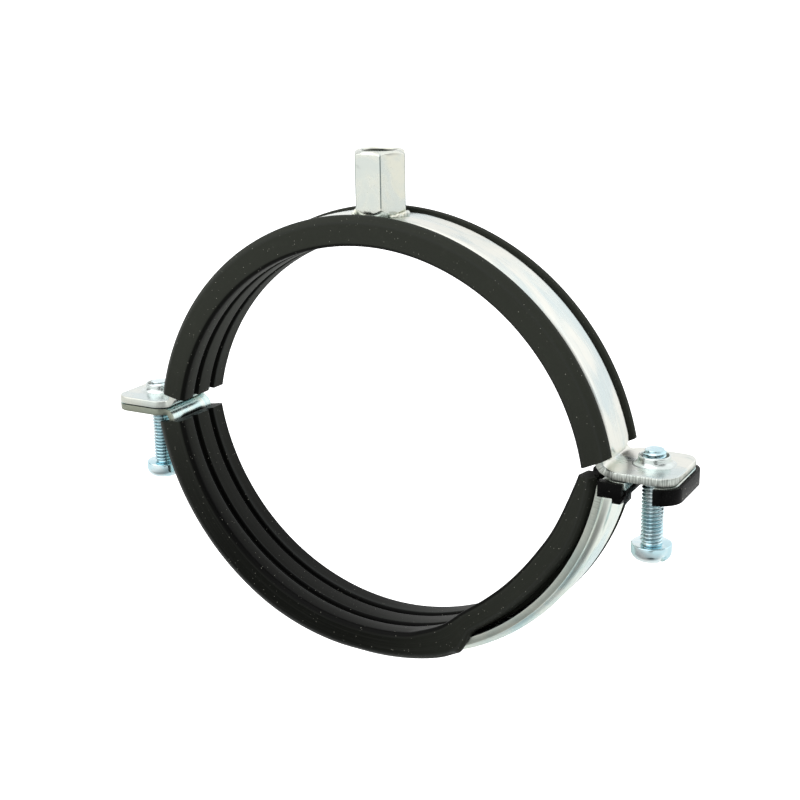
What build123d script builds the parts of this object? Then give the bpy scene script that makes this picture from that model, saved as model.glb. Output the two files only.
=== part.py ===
"""Two-screw, rubber lined pipe clamp with a welded connection nut.

Frame: +Z up towards the nut, Y along the pipe, front at -Y. The origin is the middle of the ring on the
parting plane between the two half clamps. All sizes are in millimetres.
"""
import os
from math import cos, hypot, radians, sin, sqrt

from build123d import *

os.makedirs("parts", exist_ok=True)

# ---- ring ----
seat_radius = 62.4          # rubber lands that hold the pipe
upper_centre_drop = 9.7     # centre of the upper arc, below the parting plane
lower_centre_rise = 6.9     # centre of the lower arc, above the parting plane
parting_gap = 0.3           # running gap between the upper and lower ears

# ---- steel strap ----
sheet = 2.0                 # sheet thickness
strap_width = 18.4
rubber_base = 3.65          # rubber between the pipe and the strap
rubber_fit = 0.15           # gap between rubber and steel
rib_height = 2.0            # raised centre band, pressed outwards
side_band = 1.8             # flat edge of the strap on each side of the raised band
rib_draft = 0.6             # each side wall leans in by this much
rib_foot = 2.6              # lowest point of the band, above the parting plane
rib_corner = 4.0
rib_shoulder = 1.2          # rounding of the band's outer edges
rib_root = 0.6              # rounding where the band rises from the sheet
bend_radius = 1.6           # concave bend between arc and ear
crown_flat_drop = 0.6       # the band is pressed flat under the nut by this much

# ---- ears ----
screw_offset = 9.05         # from the outside of the arc to the screw axis
ear_overhang = 8.5          # from a screw axis to the end of its ear
ear_flare = 1.9             # the ear is wider than the strap by this much on each side
ear_corner = 4.6
flare_offset = 2.75         # from the outside of the arc to where the ear has its full width
flare_length = 3.7          # the strap widens to the ear over this length
collar_height = 2.35        # threaded collar drawn up out of the upper ear
collar_wall = 1.13
collar_root = 1.5           # fillet where the collar leaves the plate
ear_hole_clearance = 0.35   # round the screw in the lower left ear
slot_clearance = 0.68       # each side of the screw in the open slot

# ---- screws ----
screw_radius = 2.92         # over the thread crests
screw_length = 25.0
screw_tip_chamfer = 0.5
thread_clearance = 0.05     # radial, screw in collar
head_radius = 5.25
head_height = 4.4
head_round = 1.7
driver_slot_width = 1.6
driver_slot_depth = 2.2
left_slot_heading = 20.0    # degrees from +X
right_slot_heading = -34.0
right_tip_height = 6.0      # screw tip above the parting plane
left_tip_height = 4.9

# ---- connection nut ----
nut_across_flats = 13.1
nut_height = 17.0
nut_chamfer_radius = 5.9    # turned face at both ends
nut_top_angle = 30.0
nut_foot_angle = 50.0
wide_bore_radius = 4.25     # tapping size of the upper thread
wide_bore_depth = 8.0
narrow_bore_radius = 3.4    # tapping size of the lower thread
bore_mouth = 0.9            # countersink
weld_reach = 2.6            # weld bead, out from the turned foot of the nut
weld_height = 1.5
weld_half_angle = 38.0

# ---- rubber lining ----
lip_wall = 1.5              # the lining is wider than the strap by this much on each side
edge_round = 1.0            # inner front and back edges
lip_height = 2.15           # rubber lip over the strap edge
lip_reach = 1.55            # how far the lip reaches in over the side band
lip_bevel = 1.7
groove_centre = 3.8         # two grooves, either side of the middle land
groove_mouth = 2.4
groove_floor = 1.4
groove_depth = 1.5
back_hollow = 0.1           # the back of the profile stands off the strap in the middle
upper_lining_end = 12.0     # degrees above the horizontal through the arc centre
lower_lining_end = 9.0
slipped_end = 6.8           # the loose end has crept towards the ear
lip_notch = 9.4             # the lips stop here, clear of the bend into the ear
notch_bite = 0.3            # the notch goes this much deeper than the strap pocket

# ---- screw retainer ----
retainer_wall = 1.0
retainer_fit = 0.12
retainer_floor = 2.1
retainer_top_gap = 0.35     # below the parting plane
retainer_throat_clearance = 0.8
clip_block_offset = -1.4    # from the outside of the arc to the left side of the front snap block
clip_block_depth = 6.0
clip_block_thickness = 2.3
clip_hook_depth = 7.0
clip_hook_inner = 5.7       # the hook stays this far in front of the screw axis
clip_strap_gap = 0.5
clip_window_width = 2.0     # window in the block, through which the edge of the ear shows
clip_window_bottom = 3.6
clip_step = 0.8             # the block is set back by this much under the window
clip_corner = 1.1           # chamfer on the block's free lower corner

# ---- derived ----
strap_inner = seat_radius + rubber_base + rubber_fit
strap_outer = strap_inner + sheet
rib_outer = strap_outer + rib_height
ear_bottom = parting_gap / 2
ear_top = ear_bottom + sheet
rib_base_width = strap_width - 2 * side_band
ear_width = strap_width + 2 * ear_flare
lining_width = strap_width + 2 * lip_wall
screw_x = strap_outer + screw_offset
ear_end = screw_x + ear_overhang
flare_end = strap_outer + flare_offset
flare_start = flare_end - flare_length
bore_radius = screw_radius + thread_clearance
collar_radius = bore_radius + collar_wall
crown_z = rib_outer - upper_centre_drop - crown_flat_drop
big = 4 * ear_end           # size of cutting tools
front = -1                  # the front face looks along -Y


def arc_plane(centre_z, angle):
    """Plane through the arc axis: local x is the radius, local y is +Y."""
    a = radians(angle)
    return Plane(origin=(0, 0, centre_z), x_dir=(cos(a), 0, sin(a)), z_dir=(-sin(a), 0, cos(a)))


def arc_axis(centre_z):
    """Axis of an arc, turned so that a positive revolution runs from +X towards +Z."""
    return Axis((0, 0, centre_z), (0, -1, 0))


def strap_side_line(drop):
    """Closed side outline of a half strap whose arc centre lies `drop` below the parting plane."""
    bend_outer = bend_radius + sheet
    bend_z = ear_bottom + bend_outer
    reach = strap_inner + bend_outer
    bend_x = sqrt(reach**2 - (bend_z + drop) ** 2)
    ux, uz = bend_x / reach, (bend_z + drop) / reach
    inner = (strap_inner * ux, strap_inner * uz - drop)
    outer = (strap_outer * ux, strap_outer * uz - drop)
    half = hypot(ux, uz + 1)
    mx, mz = -ux / half, -(uz + 1) / half
    convex_mid = (bend_x + bend_outer * mx, bend_z + bend_outer * mz)
    concave_mid = (bend_x + bend_radius * mx, bend_z + bend_radius * mz)
    ThreePointArc(inner, (0, strap_inner - drop), (-inner[0], inner[1]))
    ThreePointArc(outer, (0, strap_outer - drop), (-outer[0], outer[1]))
    for side in (1, -1):
        ThreePointArc(
            (side * inner[0], inner[1]), (side * convex_mid[0], convex_mid[1]), (side * bend_x, ear_bottom)
        )
        ThreePointArc(
            (side * outer[0], outer[1]), (side * concave_mid[0], concave_mid[1]), (side * bend_x, ear_top)
        )
        Polyline(
            (side * bend_x, ear_bottom),
            (side * ear_end, ear_bottom),
            (side * ear_end, ear_top),
            (side * bend_x, ear_top),
        )


def strap_plan():
    """Plan outline: a straight strip that flares into a rounded ear at each end."""
    with BuildSketch(Plane.XY) as plan:
        with BuildLine():
            Polyline(
                (0, strap_width / 2),
                (flare_start, strap_width / 2),
                (flare_end, ear_width / 2),
                (ear_end, ear_width / 2),
                (ear_end, 0),
            )
            mirror(about=Plane.XZ)
            mirror(about=Plane.YZ)
        make_face()
        corners = plan.vertices().filter_by(lambda v: abs(v.X) > ear_end - 0.01)
        fillet(corners, ear_corner)
        flares = plan.vertices().filter_by(
            lambda v: flare_start - 0.01 < abs(v.X) < flare_end + 0.01 and abs(v.Y) > 1
        )
        fillet(flares, flare_length / 2)
    return plan.sketch


def on_ring(edge, drop, radius):
    """Whether an edge lies at a radius from the arc axis all along."""
    points = [edge @ t for t in (0, 0.3, 0.7, 1)]
    return all(abs(hypot(p.X, p.Z + drop) - radius) < 0.01 for p in points)


def rib_band(drop, inner_radius, outer_radius, base_width, foot, corner, top_z, shoulder):
    """Raised band or its hollow: a drafted ring with rounded feet, cut level at top_z."""
    with BuildPart() as band:
        with BuildSketch(arc_plane(-drop, 0)):
            with BuildLine():
                Polyline(
                    (inner_radius, -base_width / 2),
                    (outer_radius, rib_draft - base_width / 2),
                    (outer_radius, base_width / 2 - rib_draft),
                    (inner_radius, base_width / 2),
                    close=True,
                )
            make_face()
        revolve(axis=arc_axis(-drop), revolution_arc=180)
        with BuildSketch(Plane.YZ):
            with Locations((0, foot + ear_end)):
                RectangleRounded(base_width, 2 * ear_end, corner)
        extrude(amount=ear_end, both=True, mode=Mode.INTERSECT)
        fillet(band.edges().filter_by(lambda e: on_ring(e, drop, outer_radius)), shoulder)
        with BuildSketch(Plane.XY.offset(top_z)):
            Rectangle(2 * ear_end, base_width)
        extrude(amount=ear_end, mode=Mode.SUBTRACT)
    return band.part


def half_strap(drop, top_z):
    """Half clamp in the upper position: sheet, ears, raised band and the hollow behind it."""
    pad = rib_band(drop, strap_outer - 0.4, rib_outer, rib_base_width, rib_foot, rib_corner, top_z, rib_shoulder)
    hollow = rib_band(
        drop, strap_inner - 1, strap_outer, rib_base_width - 2 * sheet, rib_foot + sheet,
        rib_corner - sheet / 2, top_z - sheet, rib_root,
    )
    with BuildPart() as half:
        with BuildSketch(Plane.XZ):
            with BuildLine():
                strap_side_line(drop)
            make_face()
        extrude(amount=ear_width / 2, both=True)
        extrude(strap_plan(), amount=big, both=True, mode=Mode.INTERSECT)
        add(pad)
        add(hollow, mode=Mode.SUBTRACT)
    return half.part


def lining_side(sign, shift=0.0, lip="gripping"):
    """One side of the lining profile, from the middle land out to the strap pocket, as (radius, y) points.

    `shift` is how far the side edge has moved in towards the pipe. The lip is "gripping" the strap edge,
    "lifting" off it, "riding" on it or "tucked" inside the strap.
    """
    half = lining_width / 2
    pocket = strap_width / 2 + rubber_fit
    edge = seat_radius - shift
    root = strap_inner - rubber_fit
    over = strap_outer + rubber_fit
    lip_outer = over + lip_height
    nose = min(edge + 5.3, root - 0.5)
    tread = [
        (seat_radius, groove_centre - groove_mouth / 2),
        (seat_radius + groove_depth, groove_centre - groove_floor / 2),
        (seat_radius + groove_depth, groove_centre + groove_floor / 2),
        (seat_radius - 0.2 * shift, groove_centre + groove_mouth / 2),
        (edge, half - edge_round),
        (edge + edge_round, half),
    ]
    lips = {
        "gripping": [
            (lip_outer - lip_bevel, half), (lip_outer, half - lip_bevel), (lip_outer, pocket - lip_reach),
            (over, pocket - lip_reach), (over, pocket), (root, pocket),
        ],
        "lifting": [
            (lip_outer - 1.9, half + 0.3), (lip_outer, half - 0.2), (lip_outer, pocket + 0.4),
            (over + 0.3, pocket + 0.15), (over - 0.3, pocket + 0.1), (root, pocket),
        ],
        "riding": [
            (edge + 5.4, half + 0.5), (edge + 6.9, half + 0.4), (edge + 7.3, half - 0.1),
            (edge + 6.6, pocket + 0.3), (edge + 5.6, pocket + 0.2), (root, pocket),
        ],
        "tucked": [
            (nose - 1.0, half + 0.1), (nose, half - 0.5), (root - 0.4, pocket - 0.6),
            (root - 0.4, pocket - 2.0), (nose - 0.6, pocket - 1.6), (edge + 3.9, pocket - 1.9),
        ],
    }
    profile = tread + lips[lip] + [(root - back_hollow, groove_centre)]
    return [(r, sign * y) for r, y in profile]


def lining_outline(shift=0.0, lip="gripping"):
    """Whole lining profile; only the front side can be out of its seat."""
    front_side = lining_side(front, shift, lip)
    back_side = lining_side(-front)
    return front_side + back_side[::-1]


# ---- upper half clamp ----
upper_sheet = half_strap(upper_centre_drop, crown_z)
with BuildPart() as upper_strap:
    add(upper_sheet)
    with BuildSketch(Plane.XY.offset(ear_bottom)):
        with Locations((screw_x, 0), (-screw_x, 0)):
            Circle(collar_radius)
    extrude(amount=sheet + collar_height)
    collar_roots = upper_strap.edges().filter_by(GeomType.CIRCLE).filter_by(
        lambda e: abs(e.radius - collar_radius) < 0.01 and abs(e.arc_center.Z - ear_top) < 0.01
    )
    fillet(collar_roots, collar_root)
    with Locations((screw_x, 0, 0), (-screw_x, 0, 0)):
        Hole(radius=bore_radius, depth=big)
upper_strap.part.label = "upper_strap"
export_step(upper_strap.part, "parts/upper_strap.step")

# ---- lower half clamp: a round hole on the left, a slot open to the front on the right ----
slot_radius = screw_radius + slot_clearance
lower_sheet = mirror(half_strap(lower_centre_rise, rib_outer), about=Plane.XY)
with BuildPart() as lower_strap:
    add(lower_sheet)
    with Locations((-screw_x, 0, 0)):
        Hole(radius=screw_radius + ear_hole_clearance, depth=big)
    with BuildSketch(Plane.XY):
        with Locations((screw_x, 0)):
            Circle(slot_radius)
        with Locations((screw_x, front * ear_width / 2)):
            Rectangle(2 * slot_radius, ear_width)
    extrude(amount=-big, mode=Mode.SUBTRACT)
lower_strap.part.label = "lower_strap"
export_step(lower_strap.part, "parts/lower_strap.step")

# ---- connection nut: turned faces, wide thread over narrow thread ----
nut_foot = crown_z
nut_corner = nut_across_flats / sqrt(3)
corner_reach = nut_corner - nut_chamfer_radius
with BuildPart() as connection_nut:
    with BuildSketch(Plane.XY.offset(nut_foot)):
        RegularPolygon(nut_corner, 6)
    extrude(amount=nut_height)
    with BuildSketch(Plane.XZ):
        with BuildLine():
            Polyline(
                (0, nut_foot),
                (nut_chamfer_radius, nut_foot),
                (nut_corner, nut_foot + corner_reach * sin(radians(nut_foot_angle))
                 / cos(radians(nut_foot_angle))),
                (nut_corner, nut_foot + nut_height - corner_reach * sin(radians(nut_top_angle))
                 / cos(radians(nut_top_angle))),
                (nut_chamfer_radius, nut_foot + nut_height),
                (0, nut_foot + nut_height),
                close=True,
            )
        make_face()
    revolve(axis=Axis.Z, mode=Mode.INTERSECT)
    with Locations((0, 0, nut_foot + nut_height)):
        CounterBoreHole(narrow_bore_radius, wide_bore_radius, wide_bore_depth, depth=nut_height)
    mouth = connection_nut.edges().filter_by(GeomType.CIRCLE).filter_by(
        lambda e: abs(e.radius - wide_bore_radius) < 0.01 and e.arc_center.Z > nut_foot + nut_height - 0.01
    )
    chamfer(mouth, bore_mouth)
connection_nut.part.label = "connection_nut"
export_step(connection_nut.part, "parts/connection_nut.step")

# ---- weld beads at the two corners of the nut's foot ----
with BuildPart() as nut_weld:
    for heading in (-weld_half_angle, 180 - weld_half_angle):
        a = radians(heading)
        with BuildSketch(Plane(origin=(0, 0, nut_foot), x_dir=(cos(a), sin(a), 0), z_dir=(sin(a), -cos(a), 0))):
            with BuildLine():
                Polyline(
                    (nut_chamfer_radius - 0.6, 0),
                    (nut_chamfer_radius + weld_reach, 0),
                    (nut_chamfer_radius + 0.75 * weld_reach, 0.45 * weld_height),
                    (nut_chamfer_radius + 0.4 * weld_reach, weld_height),
                    (nut_chamfer_radius - 0.6, weld_height),
                    close=True,
                )
            make_face()
        revolve(axis=Axis.Z, revolution_arc=2 * weld_half_angle)
    add(connection_nut.part, mode=Mode.SUBTRACT)
    with BuildSketch(Plane.XY.offset(nut_foot)):
        Circle(nut_chamfer_radius)
    extrude(amount=weld_height, mode=Mode.SUBTRACT)
nut_weld.part.label = "nut_weld"
export_step(nut_weld.part, "parts/nut_weld.step")

# ---- upper lining, seated all the way ----
with BuildPart() as upper_lining:
    with BuildSketch(arc_plane(-upper_centre_drop, upper_lining_end)):
        with BuildLine():
            Polyline(*lining_outline(), close=True)
        make_face()
    revolve(axis=arc_axis(-upper_centre_drop), revolution_arc=180 - 2 * upper_lining_end)
upper_lining.part.label = "upper_lining"
export_step(upper_lining.part, "parts/upper_lining.step")

# ---- lower lining: seated on the left, front lip off the strap edge on the right ----
# Stations give the angle from +X, how far the front edge has moved in, and what the lip does there.
peel_stations = (
    (-78.0, 0.0, "gripping"), (-71.0, 1.2, "gripping"), (-67.5, 2.0, "lifting"),
    (-65.0, 2.8, "riding"), (-61.0, 3.8, "tucked"),
)
slip_stations = (
    (-61.0, 3.8, "tucked"), (-52.0, 4.5, "tucked"), (-42.0, 4.7, "tucked"), (-32.0, 4.5, "tucked"),
    (-22.0, 3.5, "tucked"), (-13.0, 2.2, "tucked"), (-slipped_end, 1.2, "tucked"),
)
peel_start = peel_stations[0][0]
with BuildPart() as lower_lining:
    with BuildSketch(arc_plane(lower_centre_rise, 180 + lower_lining_end)):
        with BuildLine():
            Polyline(*lining_outline(), close=True)
        make_face()
    revolve(axis=arc_axis(lower_centre_rise), revolution_arc=180 + peel_start - lower_lining_end)
    for stations, straight in ((peel_stations, True), (slip_stations, False)):
        for angle, shift, lip in stations:
            with BuildSketch(arc_plane(lower_centre_rise, angle)):
                with BuildLine():
                    Polyline(*lining_outline(shift, lip), close=True)
                make_face()
        loft(ruled=straight)
    with BuildSketch(arc_plane(lower_centre_rise, peel_start - 1)):
        with Locations(((strap_inner + strap_outer) / 2, 0)):
            Rectangle(sheet + 2 * rubber_fit, strap_width + 2 * rubber_fit)
    revolve(axis=arc_axis(lower_centre_rise), revolution_arc=-peel_start + 1, mode=Mode.SUBTRACT)
    with BuildSketch(arc_plane(lower_centre_rise, -lip_notch)):
        with Locations((strap_inner - rubber_fit - notch_bite + ear_width / 2, 0)):
            Rectangle(ear_width, ear_width + 2)
    revolve(axis=arc_axis(lower_centre_rise), revolution_arc=lip_notch, mode=Mode.SUBTRACT)
lower_lining.part.label = "lower_lining"
export_step(lower_lining.part, "parts/lower_lining.step")

# ---- screws: head below, tip up through the collar ----
for name, x, tip, heading in (
    ("left_screw", -screw_x, left_tip_height, left_slot_heading),
    ("right_screw", screw_x, right_tip_height, right_slot_heading),
):
    bearing_z = tip - screw_length
    with BuildPart() as screw:
        with BuildSketch(Plane(origin=(x, 0, bearing_z - head_height))):
            Circle(head_radius)
        extrude(amount=head_height)
        fillet(screw.faces().sort_by(Axis.Z)[0].edges(), head_round)
        with BuildSketch(Plane(origin=(x, 0, bearing_z))):
            Circle(screw_radius)
        extrude(amount=screw_length)
        chamfer(screw.faces().sort_by(Axis.Z)[-1].edges(), screw_tip_chamfer)
        with BuildSketch(Plane(origin=(x, 0, bearing_z - head_height))):
            Rectangle(3 * head_radius, driver_slot_width, rotation=heading)
        extrude(amount=driver_slot_depth, mode=Mode.SUBTRACT)
    screw.part.label = name
    export_step(screw.part, f"parts/{name}.step")

# ---- screw retainer: open plastic shoe clipped round the slotted ear ----
shoe_end = ear_end + retainer_wall + retainer_fit
shoe_half = ear_width / 2 + retainer_wall + retainer_fit
shoe_left = flare_end + clip_strap_gap
clip_left = strap_outer + clip_block_offset
shoe_floor = -ear_top - retainer_fit
throat = screw_radius + retainer_throat_clearance
with BuildPart() as screw_retainer:
    with BuildSketch(Plane.XY.offset(-retainer_top_gap)):
        with Locations(((shoe_left + shoe_end) / 2, 0)):
            Rectangle(shoe_end - shoe_left, 2 * shoe_half)
    extrude(amount=shoe_floor - retainer_floor + retainer_top_gap)
    fillet(
        screw_retainer.edges().filter_by(Axis.Z).group_by(Axis.X)[-1],
        ear_corner + retainer_wall + retainer_fit,
    )
    block_right = screw_x - throat
    with BuildSketch(Plane.XY.offset(-retainer_top_gap)):
        with Locations(((clip_left + block_right) / 2, front * (shoe_half - clip_block_thickness / 2))):
            Rectangle(block_right - clip_left, clip_block_thickness)
    extrude(amount=retainer_top_gap - clip_block_depth)
    hook_left = rib_outer + retainer_fit
    with BuildSketch(Plane.XY.offset(shoe_floor)):
        with Locations(((hook_left + block_right) / 2, front * (shoe_half - 1 + clip_hook_inner) / 2)):
            Rectangle(block_right - hook_left, shoe_half - 1 - clip_hook_inner)
    extrude(amount=-shoe_floor - clip_hook_depth)
    corner = screw_retainer.edges().filter_by(Axis.Y).filter_by(
        lambda e: abs(e.center().X - block_right) < 0.01 and e.center().Z < 0.1 - clip_hook_depth
    )
    chamfer(corner, clip_corner)
    with BuildSketch(Plane.XZ.offset(shoe_half)):
        with Locations((block_right - clip_window_width / 2, -clip_window_bottom / 2)):
            Rectangle(clip_window_width, clip_window_bottom)
    extrude(amount=-clip_block_thickness, mode=Mode.SUBTRACT)
    with BuildSketch(Plane.XZ.offset(shoe_half)):
        with Locations((block_right - clip_window_width / 2, -clip_hook_depth / 2)):
            Rectangle(clip_window_width, clip_hook_depth)
    extrude(amount=-clip_step, mode=Mode.SUBTRACT)
    with BuildSketch(Plane.XY.offset(shoe_floor)):
        offset(strap_plan(), amount=retainer_fit)
    extrude(amount=-shoe_floor, mode=Mode.SUBTRACT)
    with BuildSketch(Plane.XY):
        with Locations((screw_x, 0)):
            Circle(throat)
        with Locations((screw_x, front * shoe_half)):
            Rectangle(2 * throat, 2 * shoe_half)
    extrude(amount=-big, mode=Mode.SUBTRACT)
screw_retainer.part.label = "screw_retainer"
export_step(screw_retainer.part, "parts/screw_retainer.step")
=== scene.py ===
"""Looks of the rubber lined pipe clamp, built on its fixed frame.

Sizes inside the mesh code are in millimetres and become metres when a mesh is made. Pieces are made by one
operator each, with the sizes and colours of the two property groups.
"""

import math

import bmesh
import bpy
import numpy as np
from bpy.props import FloatProperty, FloatVectorProperty, IntProperty, PointerProperty
from mathutils import Matrix, Vector


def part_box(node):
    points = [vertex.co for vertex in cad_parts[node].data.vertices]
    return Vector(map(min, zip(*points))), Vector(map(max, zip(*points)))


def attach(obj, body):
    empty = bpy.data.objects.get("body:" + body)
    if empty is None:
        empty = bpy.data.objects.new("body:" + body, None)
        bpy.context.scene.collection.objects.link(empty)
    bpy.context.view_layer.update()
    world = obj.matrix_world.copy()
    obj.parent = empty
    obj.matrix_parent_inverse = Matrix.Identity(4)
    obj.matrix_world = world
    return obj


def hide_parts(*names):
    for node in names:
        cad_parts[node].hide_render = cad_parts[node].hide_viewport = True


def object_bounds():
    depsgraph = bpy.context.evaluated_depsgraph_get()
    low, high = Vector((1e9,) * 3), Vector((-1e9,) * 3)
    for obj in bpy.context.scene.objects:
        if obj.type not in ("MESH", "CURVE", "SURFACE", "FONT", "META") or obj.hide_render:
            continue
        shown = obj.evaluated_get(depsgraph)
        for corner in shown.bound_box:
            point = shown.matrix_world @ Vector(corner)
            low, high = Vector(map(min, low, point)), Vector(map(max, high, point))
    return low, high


bl_info = {
    "name": "Rubber lined pipe clamp",
    "version": (1, 0, 0),
    "blender": (4, 5, 0),
    "location": "View3D > Sidebar > Clamp",
    "description": "Detailed pieces of a two-screw pipe clamp on a fixed frame",
    "category": "Add Mesh",
}

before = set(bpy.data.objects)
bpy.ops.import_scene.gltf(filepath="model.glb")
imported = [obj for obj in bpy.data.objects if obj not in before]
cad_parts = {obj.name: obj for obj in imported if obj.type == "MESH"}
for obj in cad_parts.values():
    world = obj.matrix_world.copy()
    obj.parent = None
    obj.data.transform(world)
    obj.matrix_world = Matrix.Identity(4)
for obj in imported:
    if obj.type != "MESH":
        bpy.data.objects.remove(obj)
FRAME_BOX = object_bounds()
MM = 0.001
ROUND = 72  # sides of a turned piece
TOOL_REACH = 8  # how far a cutting tool stands out above and below the parting plane, in millimetres


def length(label, text, default):
    """A length setting, given in millimetres."""
    return FloatProperty(name=label, description=text, default=default * MM, unit="LENGTH", precision=5)


def colour(label, text, default):
    return FloatVectorProperty(name=label, description=text, default=default, subtype="COLOR", min=0, max=1)


class ClampSizes(bpy.types.PropertyGroup):
    seat_radius: length("Seat radius", "Radius of the rubber lands", 62.4)
    rubber_base: length("Rubber base", "Rubber between pipe and strap", 3.65)
    rubber_fit: length("Rubber fit", "Gap between rubber and steel", 0.15)
    upper_drop: length("Upper centre drop", "Centre of the upper arc below the parting plane", 9.7)
    lower_rise: length("Lower centre rise", "Centre of the lower arc above the parting plane", 6.9)
    sheet: length("Sheet", "Thickness of the strap", 2.0)
    strap_width: length("Strap width", "Width of the strap between the ears", 18.4)
    side_band: length("Side band", "Flat edge beside the raised band", 1.8)
    band_height: length("Band height", "How far the band is pressed out", 2.0)
    band_corner: length("Band corner", "Corner radius of the band's feet", 4.0)
    bend_radius: length("Bend radius", "Hollow of the bend into the ear", 1.6)
    ear_flare: length("Ear flare", "Extra width of the ear on each side", 1.9)
    ear_corner: length("Ear corner", "Corner radius of the ear", 4.6)
    flare_offset: length("Flare offset", "From the arc to the full width of the ear", 2.75)
    flare_length: length("Flare length", "Length of the flare", 3.7)
    collar_radius: length("Collar radius", "Outside of the threaded collar", 4.1)
    collar_height: length("Collar height", "Height of the collar above the ear", 2.35)
    screw_crest: length("Screw crest", "Crest radius of the screw thread", 2.92)
    screw_depth: length("Screw thread depth", "Height of the screw thread", 0.56)
    screw_pitch: length("Screw pitch", "Pitch of the screw thread", 1.0)
    head_radius: length("Head radius", "Radius of the screw head", 5.25)
    head_round: length("Head rounding", "Rounding of the screw head", 2.3)
    flats: length("Across flats", "Size of the connection nut", 13.1)
    open_room: length("Open room", "From the clamp down to the floor, for the lowered half", 22.0)
    lip_wall: length("Lip wall", "Rubber outside the strap edge", 1.5)
    lip_height: length("Lip height", "Rubber lip over the strap edge", 2.15)
    lip_reach: length("Lip reach", "How far the lip grips the side band", 1.55)
    lip_bevel: length("Lip bevel", "Bevel on the outside of the lip", 1.7)
    groove_centre: length("Groove centre", "From the middle of the lining to a groove", 3.8)
    groove_mouth: length("Groove mouth", "Width of a groove at its mouth", 2.4)
    groove_floor: length("Groove floor", "Width of a groove at its floor", 1.4)
    groove_depth: length("Groove depth", "Depth of a groove", 1.5)
    thread_rows: IntProperty(name="Thread rows", description="Rows in one pitch", default=9, min=6, max=16)
    thread_columns: IntProperty(name="Thread columns", description="Columns", default=44, min=16, max=96)


class ClampFinish(bpy.types.PropertyGroup):
    zinc_cool: colour("Zinc, cool", "Bluish patches of the upper strap", (0.64, 0.72, 0.72))
    zinc_warm: colour("Zinc, warm", "Cream patches of the upper strap", (0.84, 0.84, 0.78))
    lower_cool: colour("Lower zinc, cool", "Bluish patches of the lower strap", (0.58, 0.76, 0.77))
    lower_warm: colour("Lower zinc, warm", "Pale patches of the lower strap", (0.88, 0.93, 0.86))
    nut_cool: colour("Nut, cool", "Cooler patches of the nut", (0.68, 0.72, 0.68))
    nut_warm: colour("Nut, warm", "Warmer patches of the nut", (0.80, 0.80, 0.70))
    screw_cool: colour("Screw, cool", "Blue of the screws", (0.56, 0.78, 0.85))
    screw_warm: colour("Screw, warm", "Pale parts of the screws", (0.88, 0.95, 0.96))
    rubber: colour("Rubber", "Black rubber", (0.0045, 0.0050, 0.0038))
    plastic: colour("Plastic", "Black moulded plastic", (0.0020, 0.0020, 0.0020))
    dust: colour("Dust", "Dust and talc", (0.34, 0.34, 0.29))
    floor: colour("Floor", "Pale studio floor", (0.82, 0.82, 0.82))
    wear: FloatProperty(name="Wear", description="Strength of scratches and wear", default=1.0, min=0, max=2)


def size(name):
    """A size setting in millimetres."""
    return getattr(bpy.context.scene.clamp_sizes, name) / MM


def tint(name):
    return (*getattr(bpy.context.scene.clamp_finish, name), 1.0)


# ---- mesh helpers ----


def finish_mesh(bm, name, sharp=35.0):
    """Closes seams, turns faces outwards, smooths all but sharp edges and changes millimetres to metres."""
    bmesh.ops.remove_doubles(bm, verts=bm.verts, dist=1e-5)
    bmesh.ops.recalc_face_normals(bm, faces=bm.faces)
    bmesh.ops.scale(bm, vec=(MM, MM, MM), verts=bm.verts)
    mesh = bpy.data.meshes.new(name)
    bm.to_mesh(mesh)
    bm.free()
    mesh.shade_smooth()
    mesh.set_sharp_from_angle(angle=math.radians(sharp))
    return mesh


def add_loft(bm, loops, marks=None):
    """Adds a closed sweep through `loops`, an array (stations, points, 3), with both ends capped.

    The UV map "strip" runs along the sweep in U and round it in V, both in metres. `marks` gives one value
    of the layer "edge" for each point of a loop.
    """
    uv = bm.loops.layers.uv.get("strip") or bm.loops.layers.uv.new("strip")
    edge = bm.verts.layers.float.get("edge") or bm.verts.layers.float.new("edge")
    stations, count = loops.shape[:2]
    along = np.concatenate([[0], np.cumsum(np.linalg.norm(np.diff(loops.mean(1), axis=0), axis=1))]) * MM
    closed = np.concatenate([loops[stations // 2], loops[stations // 2][:1]])
    around = np.concatenate([[0], np.cumsum(np.linalg.norm(np.diff(closed, axis=0), axis=1))]) * MM
    rows = [[bm.verts.new(p) for p in loop] for loop in loops]
    if marks is not None:
        for row in rows:
            for vert, mark in zip(row, marks):
                vert[edge] = mark
    for i in range(stations - 1):
        for j in range(count):
            k = (j + 1) % count
            face = bm.faces.new((rows[i][j], rows[i + 1][j], rows[i + 1][k], rows[i][k]))
            corners = ((i, j), (i + 1, j), (i + 1, j + 1), (i, j + 1))
            for corner, (a, b) in zip(face.loops, corners):
                corner[uv].uv = (along[a], around[b])
    for row in (rows[0], rows[-1]):
        cap = bm.faces.new(row)
        for corner in cap.loops:
            corner[uv].uv = (corner.vert.co.x * MM, corner.vert.co.y * MM)


def add_lathe(bm, outline, axis, closed=False):
    """Adds a turned solid round an upright axis at `axis` on X.

    `outline` holds (radius, z) from pole to pole, or the closed outline of a ring.
    """
    rows = []
    for r, z in outline:
        if r < 1e-6:
            rows.append([bm.verts.new((axis, 0, z))] * ROUND)
            continue
        turns = (2 * math.pi * k / ROUND for k in range(ROUND))
        rows.append([bm.verts.new((axis + r * math.cos(a), r * math.sin(a), z)) for a in turns])
    pairs = list(zip(rows, rows[1:])) + ([(rows[-1], rows[0])] if closed else [])
    for upper, lower in pairs:
        for k in range(ROUND):
            n = (k + 1) % ROUND
            corners = list(dict.fromkeys((upper[k], upper[n], lower[n], lower[k])))
            bm.faces.new(corners)


def arc(cx, cy, radius, start, end, steps):
    """Points of an arc, angles in degrees."""
    turns = np.radians(np.linspace(start, end, steps + 1))
    return [(cx + radius * math.cos(a), cy + radius * math.sin(a)) for a in turns]


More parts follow.
